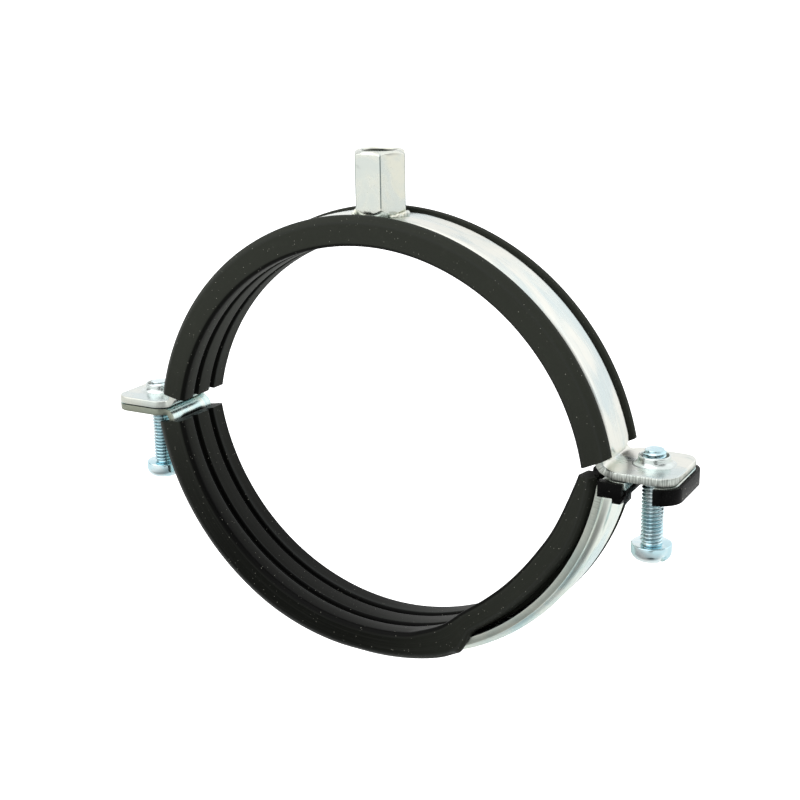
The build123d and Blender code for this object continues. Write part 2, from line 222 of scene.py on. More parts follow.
def round_corners(points, radii):
    """A closed outline with each corner drawn as a short curve of five points."""
    points = np.asarray(points, float)
    count = len(points)
    out = []
    for k in range(count):
        here, before, after = points[k], points[k - 1], points[(k + 1) % count]
        back, ahead = before - here, after - here
        reach_back = min(radii[k], 0.45 * np.linalg.norm(back)) / max(np.linalg.norm(back), 1e-9)
        reach_ahead = min(radii[k], 0.45 * np.linalg.norm(ahead)) / max(np.linalg.norm(ahead), 1e-9)
        start, end = here + back * reach_back, here + ahead * reach_ahead
        for t in np.linspace(0, 1, 5):
            out.append((1 - t) ** 2 * start + 2 * t * (1 - t) * here + t**2 * end)
    return np.array(out)


def monotone(x, y, at):
    """Smooth interpolation of table values that never overshoots; y has a row for each x."""
    x = np.asarray(x, float)
    gap = np.diff(x)[:, None]
    slope = np.diff(y, axis=0) / gap
    before, after = slope[:-1], slope[1:]
    product = before * after
    m = np.zeros_like(y)
    m[1:-1] = np.divide(2 * product, before + after, out=np.zeros_like(after), where=product > 0)
    m[0], m[-1] = slope[0], slope[-1]
    i = np.clip(np.searchsorted(x, at) - 1, 0, len(x) - 2)
    t = ((at - x[i]) / (x[i + 1] - x[i]))[:, None]
    h = gap[i]
    return (
        (2 * t**3 - 3 * t**2 + 1) * y[i] + (t**3 - 2 * t**2 + t) * h * m[i]
        + (3 * t**2 - 2 * t**3) * y[i + 1] + (t**3 - t**2) * h * m[i + 1]
    )


def new_object(name, data):
    piece = bpy.data.objects.new(name, data)
    bpy.context.scene.collection.objects.link(piece)
    return piece


def made_plain(piece):
    """Turns a piece with modifiers into a plain mesh."""
    graph = bpy.context.evaluated_depsgraph_get()
    mesh = bpy.data.meshes.new_from_object(piece.evaluated_get(graph), depsgraph=graph)
    mesh.name = piece.name
    piece.modifiers.clear()
    piece.data = mesh


def cut_away(piece, tools):
    """Cuts the tool meshes out of a piece, and removes them."""
    objects = [new_object("tool", tool) for tool in tools]
    for tool in objects:
        cut = piece.modifiers.new("cut", "BOOLEAN")
        cut.operation = "DIFFERENCE"
        cut.solver = "EXACT"
        cut.object = tool
    made_plain(piece)
    for tool in objects:
        bpy.data.objects.remove(tool)
    piece.data.set_sharp_from_angle(angle=math.radians(35))


def coat(piece, material):
    """Makes a material the only one of a piece."""
    piece.data.materials.clear()
    piece.data.materials.append(material)


def seat(piece, body, slot, *nodes):
    """Puts a finished piece on its body in place of the frame's own nodes."""
    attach(piece, body)
    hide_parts(*nodes)


def pin_tool(x, radius):
    """Round cutting tool standing through an ear."""
    bm = bmesh.new()
    add_lathe(bm, [(0, TOOL_REACH), (radius, TOOL_REACH), (radius, -TOOL_REACH), (0, -TOOL_REACH)], x)
    return finish_mesh(bm, "tool")


def slot_tool(x, radius, reach):
    """Cutting tool for a slot that is open to the front."""
    outline = [(x + radius, -reach)] + arc(x, 0, radius, 0, 180, 40) + [(x - radius, -reach)]
    bm = bmesh.new()
    add_loft(bm, np.array([[(px, py, z) for px, py in outline] for z in (-TOOL_REACH, TOOL_REACH)]))
    return finish_mesh(bm, "tool")


# ---- node helpers ----


FLOAT, VECTOR, COLOUR = "NodeSocketFloat", "NodeSocketVector", "NodeSocketColor"
WHOLE, SWITCH = "NodeSocketInt", "NodeSocketBool"
GEOMETRY, MATERIAL = "NodeSocketGeometry", "NodeSocketMaterial"


def connect(tree, node, inputs):
    """Links a node's inputs or gives them values; the keys are socket names or numbers."""
    for key, value in inputs.items():
        if isinstance(value, bpy.types.NodeSocket):
            tree.links.new(value, node.inputs[key])
        else:
            node.inputs[key].default_value = value


def add_node(tree, kind, inputs=None, **settings):
    made = tree.nodes.new(kind)
    for key, value in settings.items():
        setattr(made, key, value)
    connect(tree, made, inputs or {})
    return made


def calc(tree, operation, *values, clamp=False):
    made = add_node(tree, "ShaderNodeMath", dict(enumerate(values)), operation=operation, use_clamp=clamp)
    return made.outputs[0]


def plus(tree, first, second):
    return calc(tree, "ADD", first, second)


def minus(tree, first, second):
    return calc(tree, "SUBTRACT", first, second)


def times(tree, first, second, clamp=False):
    return calc(tree, "MULTIPLY", first, second, clamp=clamp)


def vector_calc(tree, operation, *vectors, output=0):
    made = add_node(tree, "ShaderNodeVectorMath", dict(enumerate(vectors)), operation=operation)
    return made.outputs[output]


def vector(tree, *parts):
    return add_node(tree, "ShaderNodeCombineXYZ", dict(enumerate(parts))).outputs[0]


def axes(tree, value):
    """The three parts of a vector."""
    return add_node(tree, "ShaderNodeSeparateXYZ", {0: value}).outputs


def attribute(tree, name):
    return add_node(tree, "ShaderNodeAttribute", attribute_name=name).outputs["Fac"]


def blend(tree, factor, first, second):
    return add_node(tree, "ShaderNodeMix", {0: factor, 6: first, 7: second}, data_type="RGBA").outputs[2]


def share(tree, value, low, high):
    """How far a value has come from low to high, between 0 and 1."""
    return add_node(tree, "ShaderNodeMapRange", {0: value, 1: low, 2: high}).outputs[0]


def ramp(tree, value, low, high, to_low=0.0, to_high=1.0):
    """Smooth step of a value from low to high."""
    inputs = {0: value, 1: low, 2: high, 3: to_low, 4: to_high}
    return add_node(tree, "ShaderNodeMapRange", inputs, interpolation_type="SMOOTHSTEP").outputs[0]


def noise_value(tree, place, scale, detail=3.0, rough=0.5, warp=0.0):
    inputs = {"Vector": place, "Scale": scale, "Detail": detail, "Roughness": rough, "Distortion": warp}
    return add_node(tree, "ShaderNodeTexNoise", inputs).outputs[0]


def made_once(name):
    """Makes a node group the first time it is asked for, and finds it again after that."""

    def wrap(maker):
        return lambda: bpy.data.node_groups.get(name) or maker(name)

    return wrap


def start_group(name, inputs, outputs, kind="ShaderNodeTree"):
    """A node group with named sockets: returns it, the outputs of its input node, and its output node."""
    group = bpy.data.node_groups.new(name, kind)
    for label, socket_type, default in inputs:
        socket = group.interface.new_socket(label, in_out="INPUT", socket_type=socket_type)
        if default is not None:
            socket.default_value = default
    for label, socket_type in outputs:
        group.interface.new_socket(label, in_out="OUTPUT", socket_type=socket_type)
    return group, group.nodes.new("NodeGroupInput").outputs, group.nodes.new("NodeGroupOutput")


@made_once("Passivated patches")
def patches_group(name):
    """Two tints in soft patches, as in thin passivated zinc."""
    tree, get, out = start_group(
        name,
        [("Vector", VECTOR, None), ("Cool", COLOUR, (0.6, 0.7, 0.8, 1)), ("Warm", COLOUR, (0.8, 0.8, 0.7, 1)),
         ("Patch Scale", FLOAT, 90.0), ("Spot Strength", FLOAT, 0.2)],
        [("Color", COLOUR), ("Mask", FLOAT)],
    )
    wide = noise_value(tree, get["Vector"], get["Patch Scale"], 4.0, 0.55, 0.6)
    mask = ramp(tree, wide, 0.38, 0.62)
    fine = noise_value(tree, get["Vector"], times(tree, get["Patch Scale"], 14.0), 3.0, 0.6)
    spots = times(tree, ramp(tree, fine, 0.60, 0.75), get["Spot Strength"])
    base = blend(tree, mask, get["Cool"], get["Warm"])
    connect(tree, out, {"Color": blend(tree, spots, base, (0.32, 0.36, 0.38, 1)), "Mask": mask})
    return tree


@made_once("Drawn lines")
def lines_group(name):
    """Fine lines drawn out along U, as rolling or extruding leaves them."""
    tree, get, out = start_group(
        name,
        [("Vector", VECTOR, None), ("Along", FLOAT, 20.0), ("Across", FLOAT, 3000.0)],
        [("Lines", FLOAT)],
    )
    drawn = vector_calc(tree, "MULTIPLY", get["Vector"], vector(tree, get["Along"], get["Across"], 1.0))
    connect(tree, out, {"Lines": noise_value(tree, drawn, 1.0, 4.0, 0.65)})
    return tree


@made_once("Dust specks")
def dust_group(name):
    """Scattered pale specks with a faint haze between them."""
    tree, get, out = start_group(
        name, [("Vector", VECTOR, None), ("Scale", FLOAT, 900.0), ("Amount", FLOAT, 0.5)],
        [("Specks", FLOAT), ("Haze", FLOAT)],
    )
    cells = add_node(tree, "ShaderNodeTexVoronoi", {"Vector": get["Vector"], "Scale": get["Scale"]})
    chance = add_node(tree, "ShaderNodeSeparateColor", {0: cells.outputs["Color"]}).outputs[0]
    chosen = ramp(tree, chance, minus(tree, 1.0, times(tree, get["Amount"], 0.2)), 1.0)
    near = ramp(tree, cells.outputs["Distance"], 0.12, 0.28, 1.0, 0.0)
    cloud = noise_value(tree, get["Vector"], times(tree, get["Scale"], 0.12), 5.0, 0.7)
    specks = times(tree, chosen, near, clamp=True)
    connect(tree, out, {"Specks": specks, "Haze": ramp(tree, cloud, 0.45, 0.8)})
    return tree


@made_once("Fine scratches")
def scratches_group(name):
    """Short fine scratches in two directions."""
    tree, get, out = start_group(
        name,
        [("Vector", VECTOR, None), ("Scale", FLOAT, 400.0), ("Amount", FLOAT, 0.5)],
        [("Scratches", FLOAT)],
    )
    masks = []
    for turn, squeeze in ((0.6, (1, 14, 1)), (-0.9, (12, 1, 3))):
        inputs = {"Vector": get["Vector"], "Angle": turn}
        turned = add_node(tree, "ShaderNodeVectorRotate", inputs, rotation_type="Y_AXIS").outputs[0]
        value = noise_value(tree, vector_calc(tree, "MULTIPLY", turned, squeeze), get["Scale"], 2.0, 0.5)
        masks.append(ramp(tree, value, 0.68, 0.78))
    both = calc(tree, "MAXIMUM", *masks)
    connect(tree, out, {"Scratches": times(tree, both, get["Amount"], clamp=True)})
    return tree


@made_once("Bore shade")
def bore_group(name):
    """A mask of what lies inside upright round bores, mirrored to both sides of the middle."""
    tree, get, out = start_group(
        name, [("Vector", VECTOR, None), ("Axis", FLOAT, 0.0), ("Radius", FLOAT, 0.005)], [("Mask", FLOAT)]
    )
    x, y, _ = axes(tree, get["Vector"])
    across = minus(tree, calc(tree, "ABSOLUTE", x), get["Axis"])
    away = calc(tree, "SQRT", plus(tree, calc(tree, "POWER", across, 2.0), calc(tree, "POWER", y, 2.0)))
    inner = times(tree, get["Radius"], 0.94)
    connect(tree, out, {"Mask": ramp(tree, away, inner, get["Radius"], 1.0, 0.0)})
    return tree


def placed(tree, group, **inputs):
    """Places a node group; an underscore in a keyword stands for a space in the socket's name."""
    inputs = {key.replace("_", " "): value for key, value in inputs.items()}
    return add_node(tree, "ShaderNodeGroup", inputs, node_tree=group).outputs


def start_material(name):
    """A new material with its tree, its shader and the place on the object."""
    material = bpy.data.materials.new(name)
    material.use_nodes = True
    tree = material.node_tree
    place = tree.nodes.new("ShaderNodeTexCoord").outputs["Object"]
    return material, tree, tree.nodes["Principled BSDF"], place


def finish_shader(tree, shader, body, gloss, height, strength, depth):
    """Gives a shader its colour and roughness, and a bump `depth` metres deep."""
    bump = add_node(tree, "ShaderNodeBump", {"Strength": strength, "Distance": depth, "Height": height})
    connect(tree, shader, {"Base Color": body, "Roughness": gloss, "Normal": bump.outputs[0]})


def wear_amount():
    return bpy.context.scene.clamp_finish.wear


def zinc_material(name, cool, warm, patch_scale, rough=0.24, strip=False, scratch=0.5, bore=None, gap_shade=0.0):
    """Bright passivated zinc. With `strip`, the streaks and the sheared edges follow the UV map.

    `bore` gives the axis and radius of bores darkened with painted shade, in millimetres. The gap shade value
    paints shade on the sheared edges, as in the parting gap, and most on the left ear.
    """
    material, tree, shader, where = start_material(name)
    spread = where
    if strip:
        flat = add_node(tree, "ShaderNodeUVMap", uv_map="strip").outputs[0]
        spread = vector_calc(tree, "MULTIPLY", flat, (0.8, 2.0, 1.0))
    patches = placed(
        tree, patches_group(), Vector=spread, Cool=tint(cool), Warm=tint(warm), Patch_Scale=patch_scale,
        Spot_Strength=0.12,
    )
    scratches = placed(tree, scratches_group(), Vector=where, Scale=420.0, Amount=scratch * wear_amount())[0]
    height = times(tree, noise_value(tree, where, 1500.0, 3.0, 0.6), 0.35)
    body = patches["Color"]
    gloss = ramp(tree, patches["Mask"], 0.0, 1.0, rough, rough + 0.08)
    if strip:
        rolled = placed(tree, lines_group(), Vector=flat, Along=60.0, Across=2600.0)[0]
        height = plus(tree, height, times(tree, rolled, 0.5))
        gloss = plus(tree, gloss, ramp(tree, rolled, 0.4, 0.7, -0.03, 0.06))
        body = blend(tree, ramp(tree, rolled, 0.56, 0.68, 0.0, 0.35), body, (0.45, 0.52, 0.50, 1))
        edge = ramp(tree, attribute(tree, "edge"), 0.2, 0.8)
        torn = placed(tree, lines_group(), Vector=flat, Along=2500.0, Across=160.0)[0]
        across = axes(tree, where)[0]
        right = ramp(tree, across, 0.063, 0.069, 0.12, 1.0)
        tear = times(tree, times(tree, edge, right), ramp(tree, torn, 0.40, 0.60))
        height = plus(tree, height, times(tree, tear, -3.0))
        body = blend(tree, times(tree, edge, 0.45), body, (0.72, 0.74, 0.66, 1))
        body = blend(tree, times(tree, tear, 0.75), body, (0.20, 0.22, 0.20, 1))
        gloss = plus(tree, gloss, times(tree, edge, 0.12))
        # Painted shade on the sheared edges, as in the parting gap, strongest on the left ear.
        left = ramp(tree, across, -0.067, -0.064, gap_shade, 0.4 * gap_shade)
        body = blend(tree, times(tree, edge, left), body, (0.19, 0.20, 0.14, 1))
    # Painted shade in the thread roots and a painted dark reflection on the nut's corners.
    painted_dark_mark = ramp(tree, attribute(tree, "painted_dark_mark"), 0.3, 1.0, 0.0, 0.7)
    body = blend(tree, painted_dark_mark, body, (0.09, 0.14, 0.15, 1))
    # Painted shade inside the bores.
    if bore:
        shade = placed(tree, bore_group(), Vector=where, Axis=bore[0] * MM, Radius=bore[1] * MM)[0]
        body = blend(tree, times(tree, shade, 0.6), body, (0.10, 0.10, 0.09, 1))
    body = blend(tree, times(tree, scratches, 0.35), body, (0.40, 0.42, 0.40, 1))
    shader.inputs["Metallic"].default_value = 1.0
    finish_shader(tree, shader, body, gloss, minus(tree, height, scratches), 0.22, 0.00006)
    return material


def rubber_material(name):
    """Extruded black rubber with drawn lines, lighter towards the top and the right, and fine pale specks."""
    material, tree, shader, where = start_material(name)
    flat = add_node(tree, "ShaderNodeUVMap", uv_map="strip").outputs[0]
    drawn = placed(tree, lines_group(), Vector=flat, Along=25.0, Across=2200.0)[0]
    grain = noise_value(tree, where, 2600.0, 4.0, 0.7)
    dust = placed(tree, dust_group(), Vector=where, Scale=2200.0, Amount=0.32 * wear_amount())
    across, _, high = axes(tree, where)
    # The rubber is made lighter towards the top and the right, unevenly by a cloudy noise.
    upper, right = ramp(tree, high, -0.045, 0.03), ramp(tree, across, -0.01, 0.05, 0.0, 0.75)
    reached = calc(tree, "MAXIMUM", upper, right)
    lighter_share = times(tree, reached, ramp(tree, dust["Haze"], 0.0, 1.0, 0.85, 1.0))
    lightened = blend(tree, lighter_share, tint("rubber"), (0.030, 0.033, 0.026, 1))
    lined = blend(tree, ramp(tree, drawn, 0.45, 0.75, 0.0, 0.30), lightened, (0.030, 0.031, 0.028, 1))
    # Painted light on the ribs: a painted highlight on the crests and painted shade in the hollows.
    painted_light = attribute(tree, "edge")
    lined = blend(tree, ramp(tree, painted_light, 0.0, -1.0, 0.0, 0.85), lined, (0.0008, 0.0008, 0.0008, 1))
    lined = blend(tree, ramp(tree, painted_light, 0.0, 1.0, 0.0, 0.75), lined, (0.034, 0.037, 0.036, 1))
    body = blend(tree, dust["Specks"], lined, tint("dust"))
    gloss = plus(tree, ramp(tree, drawn, 0.3, 0.7, 0.28, 0.38), times(tree, lighter_share, 0.2))
    height = plus(tree, times(tree, drawn, 0.7), times(tree, grain, 0.5))
    shader.inputs["Specular IOR Level"].default_value = 0.06
    finish_shader(tree, shader, body, gloss, plus(tree, height, dust["Specks"]), 0.35, 0.00007)
    return material


def plastic_material(name):
    """Moulded black plastic with scuffs and zinc dust."""
    material, tree, shader, where = start_material(name)
    dust = placed(tree, dust_group(), Vector=where, Scale=1300.0, Amount=0.45 * wear_amount())
    scuffs = placed(tree, scratches_group(), Vector=where, Scale=700.0, Amount=0.8 * wear_amount())[0]
    body = blend(tree, times(tree, scuffs, 0.3), tint("plastic"), (0.12, 0.12, 0.11, 1))
    body = blend(tree, dust["Specks"], body, (0.40, 0.38, 0.32, 1))
    grain = noise_value(tree, where, 1800.0, 3.0, 0.6)
    gloss = plus(tree, ramp(tree, grain, 0.3, 0.7, 0.24, 0.36), times(tree, scuffs, 0.2))
    shader.inputs["Specular IOR Level"].default_value = 0.05
    finish_shader(tree, shader, body, gloss, plus(tree, grain, scuffs), 0.25, 0.00006)
    return material


# ---- straps ----


def strap_inner():
    return size("seat_radius") + size("rubber_base") + size("rubber_fit")


ARC_POINTS = 100  # from the crown towards the bend
TURN_POINTS = 26  # from there to the bend


def strap_path(drop, bottom, ear_end, edge):
    """Middle line of a half strap from the crown to the right ear.

    Each row holds x, z, the normal's x and z, and the share of the thickness.
    """
    half = size("sheet") / 2
    middle = strap_inner() + half
    bend_outer = size("bend_radius") + size("sheet")
    bend_middle = size("bend_radius") + half
    bend_z = bottom + bend_outer
    reach = strap_inner() + bend_outer
    bend_x = math.sqrt(reach**2 - (bend_z + drop) ** 2)
    start = math.degrees(math.asin((bend_z + drop) / reach))
    rows = []
    turns = [np.linspace(90, start + 8, ARC_POINTS), np.linspace(start + 7.7, start, TURN_POINTS)]
    for a in np.radians(np.concatenate(turns)):
        c, s = math.cos(a), math.sin(a)
        rows.append((middle * c, middle * s - drop, c, s, 1.0))
    for a in np.radians(np.linspace(180 + start, 270, 18)[1:]):
        c, s = math.cos(a), math.sin(a)
        rows.append((bend_x + bend_middle * c, bend_z + bend_middle * s, -c, -s, 1.0))
    corner_start = ear_end - size("ear_corner")
    for x in np.linspace(bend_x, corner_start, 18)[1:]:
        rows.append((x, bottom + half, 0.0, 1.0, 1.0))
    last = math.degrees(math.asin((size("ear_corner") - edge) / size("ear_corner")))
    for a in np.radians(np.linspace(0, last, 14)[1:]):
        rows.append((corner_start + size("ear_corner") * math.sin(a), bottom + half, 0.0, 1.0, 1.0))
    for a in np.radians((30, 60, 90)):
        thin = 1 - edge * (1 - math.cos(a)) / half
        rows.append((ear_end - edge + edge * math.sin(a), bottom + half, 0.0, 1.0, thin))
    return np.array(rows)


def plan_half_width(x, ear_end):
    """Half width of the flat strip at a distance x from the middle."""
    strap = size("strap_width") / 2
    ear = strap + size("ear_flare")
    full = strap_inner() + size("sheet") + size("flare_offset")
    t = np.clip((x - full + size("flare_length")) / size("flare_length"), 0, 1)
    width = strap + (ear - strap) * t * t * (3 - 2 * t)
    into = np.clip(x - (ear_end - size("ear_corner")), 0, size("ear_corner"))
    return width - size("ear_corner") + np.sqrt(size("ear_corner") ** 2 - into**2)


def pressed_height(inside):
    """Height of the raised band at a distance inside its outline: two arcs with a steep wall between."""
    radius, slope = 1.1, math.radians(68)
    rise = radius * (1 - math.cos(slope))
    run = radius * math.sin(slope)
    wall = max((size("band_height") - 2 * rise) / math.tan(slope), 0.01)
    total = 2 * run + wall
    q = np.clip(inside, 0, total)

    def rounding(distance):
        return radius - np.sqrt(np.clip(radius**2 - np.minimum(distance, run) ** 2, 0, None))

    low = rounding(q)
    middle = rise + (q - run) * math.tan(slope)
    top = size("band_height") - rounding(total - q)
    return np.where(q < run, low, np.where(q > total - run, top, middle))


def half_strap_loops(drop, bottom, ear_end, crown_limit):
    """Loops of a half strap in the upper position, and the mark of each point of a loop."""
    edge, burr = 0.35, 0.12
    half = size("sheet") / 2
    side = strap_path(drop, bottom, ear_end, edge)
    run = np.concatenate([[0], np.cumsum(np.hypot(np.diff(side[:, 0]), np.diff(side[:, 1])))])
    foot = run[ARC_POINTS + TURN_POINTS - 1] + 0.8
    left = side[:0:-1] * np.array([-1, 1, -1, 1, 1])
    path = np.concatenate([left, side])
    along = np.concatenate([-run[:0:-1], run])
    inner = size("strap_width") / 2 - edge
    one = np.concatenate([np.linspace(0, 4.4, 6), np.arange(4.7, 7.55, 0.19), [7.8, 8.2, inner]])
    across = np.concatenate([-one[:0:-1], one])
    width = plan_half_width(np.abs(path[:, 0]), ear_end)
    y = across[None, :] * ((width - edge) / inner)[:, None]
    outline_half = size("strap_width") / 2 - size("side_band")
    corner = size("band_corner")
    qx = np.abs(along)[:, None] - (foot - corner)
    qy = np.abs(y) - (outline_half - corner)
    outside = np.hypot(np.maximum(qx, 0), np.maximum(qy, 0)) + np.minimum(np.maximum(qx, qy), 0) - corner
    out = pressed_height(-outside)
    px, pz, nx, nz, thick = (path[:, k][:, None] for k in range(5))
    z = pz + nz * out
    if crown_limit is not None:
        soft = 0.12
        z = np.where(z > crown_limit - 2, -soft * np.logaddexp(-z / soft, -(crown_limit + 0.05) / soft), z)
    middle = np.stack([px + nx * out, y, z], -1)
    normal = np.cross(np.gradient(middle, axis=1), np.gradient(middle, axis=0))
    normal /= np.linalg.norm(normal, axis=-1, keepdims=True)
    outwards = np.stack([nx + 0 * y, 0 * y, nz + 0 * y], -1)
    normal *= np.sign((normal * outwards).sum(-1, keepdims=True))
    top = middle + normal * half * thick[..., None]
    base = middle - normal * half * thick[..., None]
    loops = []
    for i in range(len(path)):
        loop = list(top[i])
        for sign, row in ((1, -1), (-1, 0)):
            centre, up = middle[i, row], normal[i, row]
            t = half * thick[i, 0]
            rim = [(edge * math.sin(a), t - edge + edge * math.cos(a)) for a in np.radians((30, 60, 90))]
            for a in np.radians((0, 45)):
                rim.append((edge - burr + burr * math.cos(a), -t + burr - burr * math.sin(a)))
            ring = [centre + np.array([0, sign * o, 0]) + up * h for o, h in rim]
            if sign == 1:
                loop += ring + list(base[i][::-1])
            else:
                loop += ring[::-1]
        loops.append(loop)
    face_marks, edge_marks = [0.0] * len(across), [1.0] * len(ring)
    return np.array(loops), 2 * (face_marks + edge_marks)


def collar_outline(ear_top, bore):
    """Closed (radius, z) outline of the drawn collar, with the fillet it rises from."""
    root, out = 1.5, size("collar_radius")
    top = ear_top + size("collar_height")
    turns = np.radians(np.linspace(0, 90, 9))
    lift = 0.004
    fillet = [(out + root - root * math.sin(a), ear_top + root - root * math.cos(a) + lift) for a in turns]
    return (
        [(bore + 0.3, ear_top - 0.6), (out + root, ear_top - 0.6)] + fillet
        + [(out, top - 0.4)] + arc(out - 0.4, top - 0.4, 0.4, 20, 90, 4)
        + [(bore + 0.7, top), (bore + 0.5, top - 0.3), (bore + 0.02, top - 1.1), (bore + 0.02, ear_top - 0.6)]
    )


class CLAMP_OT_straps(bpy.types.Operator):
    """Makes the two pressed steel half straps with their ears, collars, hole and slot"""

    bl_idname = "clamp.straps"
    bl_label = "Half straps"

    def execute(self, context):
        low, high = (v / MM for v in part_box("upper_strap"))
        screw_x = sum(corner.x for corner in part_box("right_screw")) / 2 / MM
        crest = size("screw_crest")
        bore, hole, slot = crest + 0.05, crest + 0.35, crest + 0.68
        crown_top = high.z - size("sheet") / 2
        # The last value of each row paints shade on the sheared edges, as in the parting gap.
        for name, drop, crown, cool, warm, gap_shade in (
            ("upper", size("upper_drop"), crown_top, "zinc_cool", "zinc_warm", 0.1),
            ("lower", size("lower_rise"), None, "lower_cool", "lower_warm", 0.8),
        ):
            steel = zinc_material(
                f"zinc_{name}_strap", cool, warm, 50.0, 0.24, strip=True, scratch=0.35, bore=(screw_x, 3.7),
                gap_shade=gap_shade,
            )
            loops, marks = half_strap_loops(drop, low.z, high.x, crown)
            if name == "lower":
                loops = loops * np.array([1, 1, -1])
            bm = bmesh.new()
            add_loft(bm, loops, marks)
            piece = new_object(f"{name}_strap_steel", finish_mesh(bm, f"{name}_strap_steel"))
            if name == "upper":
                cut_away(piece, [pin_tool(screw_x, bore), pin_tool(-screw_x, bore)])
                bm = bmesh.new()
                bm.from_mesh(piece.data)
                collars = bmesh.new()
                for x in (screw_x, -screw_x):
                    add_lathe(collars, collar_outline(low.z + size("sheet"), bore), x, closed=True)
                bm.from_mesh(finish_mesh(collars, "collars"))
                bm.to_mesh(piece.data)
                bm.free()
                piece.data.set_sharp_from_angle(angle=math.radians(35))
            else:
                cut_away(piece, [pin_tool(-screw_x, hole), slot_tool(screw_x, slot, 20)])
            coat(piece, steel)
            seat(piece, f"{name}_half", "zinc_steel", f"{name}_strap")
        return {"FINISHED"}


# ---- rubber linings ----


def lining_side(shift=0.0, lip="gripping", rise=0.0):
    """Corner points (radius, y) of one side of the lining, from the middle land to the strap pocket.

    `shift` pulls the side towards the pipe, and `rise` lifts the outer corner of a gripping lip.
    """
    half = size("strap_width") / 2 + size("lip_wall")
    pocket = size("strap_width") / 2 + size("rubber_fit")
    seat_r = size("seat_radius")
    root = strap_inner() - size("rubber_fit")
    over = strap_inner() + size("sheet") + size("rubber_fit")
    outer = over + size("lip_height")
    bevel, reach = size("lip_bevel"), size("lip_reach")
    centre, depth = size("groove_centre"), size("groove_depth")
    mouth, floor = size("groove_mouth") / 2, size("groove_floor") / 2
    inner_edge = seat_r - shift
    points = [
        (seat_r, centre - mouth), (seat_r + depth, centre - floor), (seat_r + depth, centre + floor),
        (seat_r - 0.25 * shift, centre + mouth), (inner_edge, half - 1.0), (inner_edge + 1.0, half),
    ]
    if lip == "gripping":
        points += [
            (outer - bevel + 0.6 * rise, half), (outer + rise, half - bevel + 0.6 * rise),
            (outer + 0.3 * rise, pocket - reach), (over, pocket - reach), (over, pocket), (root, pocket),
        ]
    elif lip == "lifting":
        points += [
            (outer - bevel - 1.1, half + 0.25), (outer - 1.2, half - 0.5), (outer - 1.1, pocket + 0.1),
            (over + 0.3, pocket + 0.05), (over - 0.2, pocket + 0.05), (root, pocket),
        ]
    elif lip == "riding":
        points += [
            (inner_edge + 6.6, half + 0.4), (inner_edge + 8.3, half + 0.2), (inner_edge + 8.4, pocket + 0.35),
            (inner_edge + 7.5, pocket + 0.15), (inner_edge + 6.4, pocket + 0.1), (root - 0.6, pocket),
        ]
    else:
        nose = min(outer - bevel - shift - 0.5, root - 1.4)
        top = nose + 0.9
        points += [
            (nose - 0.7, half), (nose, half - 0.6), (top, pocket - 1.6), (top, pocket - 3.0),
            (nose - 0.6, pocket - 2.6), (inner_edge + 3.9, pocket - 2.6),
        ]
    return np.array(points + [(root - 0.1, centre)])


# Rounding of each corner of a side, in millimetres.
SIDE_RADII = [0.35, 0.4, 0.4, 0.45, 0.5, 0.5, 0.6, 0.7, 0.3, 0.1, 0.1, 0.1, 0.1]

# Painted light at the five points of each corner of a side: 1 paints a highlight on a crest, -1 shade in a
# hollow.
PAINTED_LIGHT_SIDE = [
    *(0.1, 0.9, 0.4, -1, -1), *(-1, -1, -1, -1, -1), *(-1, -1, -1, -1, -1), *(-1, -1, 0.6, 0.9, 0.5),
    *(-0.7, -1, -1, -1, -1), *(-1, -0.6, 0, 0.3, 0), *(0, 0.3, 0.4, 0.3, 0), *(0, 0.2, 0.4, 0.2, 0),
    *[0] * 25,
]


def lining_loops(centre_z, angles, fronts, back, slant=0.0):
    """Loops of a lining: `fronts` holds the corner points of the front side at each angle in degrees.

    `slant` is the angle by which the pipe side leads at the first end, where the knife cut askew.
    """
    outer = strap_inner() + size("sheet") + size("lip_height")
    loops = []
    for angle, front in zip(angles, fronts):
        corners = np.concatenate([front * (1, -1), back[::-1]])
        ring = np.array(round_corners(corners, SIDE_RADII + SIDE_RADII[::-1]))
        lead = slant * np.clip((angles[0] + 8.0 - angle) / 8.0, 0, 1)
        radius = ring[:, 0]
        turn = np.radians(angle - lead * (outer - radius) / (outer - size("seat_radius")))
        loops.append(np.column_stack([radius * np.cos(turn), ring[:, 1], centre_z + radius * np.sin(turn)]))
    return np.array(loops)


